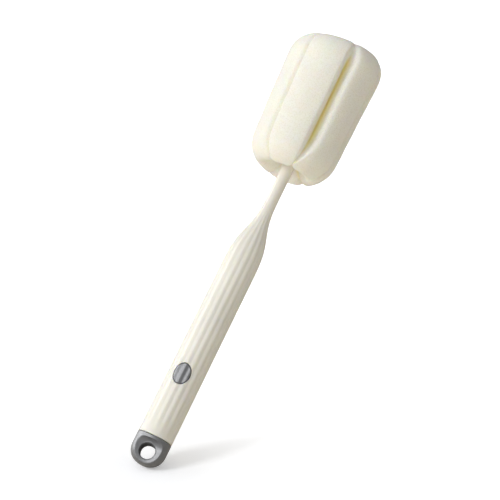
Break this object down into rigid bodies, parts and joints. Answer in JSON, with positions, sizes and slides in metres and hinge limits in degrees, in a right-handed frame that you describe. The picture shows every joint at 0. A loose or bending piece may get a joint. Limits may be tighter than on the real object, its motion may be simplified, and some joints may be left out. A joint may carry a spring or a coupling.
{
  "type": "long-handled cup brush",
  "caption": "Long-handled cup brush with a fluted handle, a lobed foam head on a thin neck, a push button that ejects the head and a pierced end cap for hanging.",
  "frame": {"origin": "on the brush's long axis at the middle of the grip, where a hand holds it", "axes": "+Z along the brush from its hanging end to its sponge, -Y out of the button's face"},
  "size_m": [0.0602, 0.0613, 0.2994],
  "materials": {
    "cream_plastic": "satin",
    "grey_plastic": "matte",
    "white_plastic": "satin",
    "black_rubber": "matte",
    "steel": "satin",
    "foam": "matte"
  },
  "bodies": {
    "handle": {"handle_shell": "cream_plastic", "end_cap": "grey_plastic", "cap_seal": "black_rubber", "release_carrier": "white_plastic", "rod_seal": "black_rubber", "grip_ring": "black_rubber", "return_spring": "steel"},
    "button": {"release_button": "grey_plastic"},
    "ejector": {"cam_block": "white_plastic", "push_rod": "steel", "spring_washer": "steel", "ejector_tip": "white_plastic"},
    "sponge_head": {"sponge": "foam", "sponge_core": "white_plastic"}
  },
  "joints": [
    {"name": "button_press", "type": "slide", "parent": "handle", "child": "button", "axis": [0, 1, 0], "range_m": [0, 0.003], "stiffness_N_per_m": 900, "springref_m": -0.003},
    {"name": "rod_push", "type": "slide", "parent": "handle", "child": "ejector", "axis": [0, 0, 1], "range_m": [0, 0.003], "deforming": ["return_spring"]},
    {"name": "head_pull_off", "type": "slide", "parent": "ejector", "child": "sponge_head", "axis": [0, 0, 1], "range_m": [0, 0.048]}
  ],
  "couplings": [
    {"joint": "rod_push", "follows": "button_press", "ratio": 1}
  ]
}
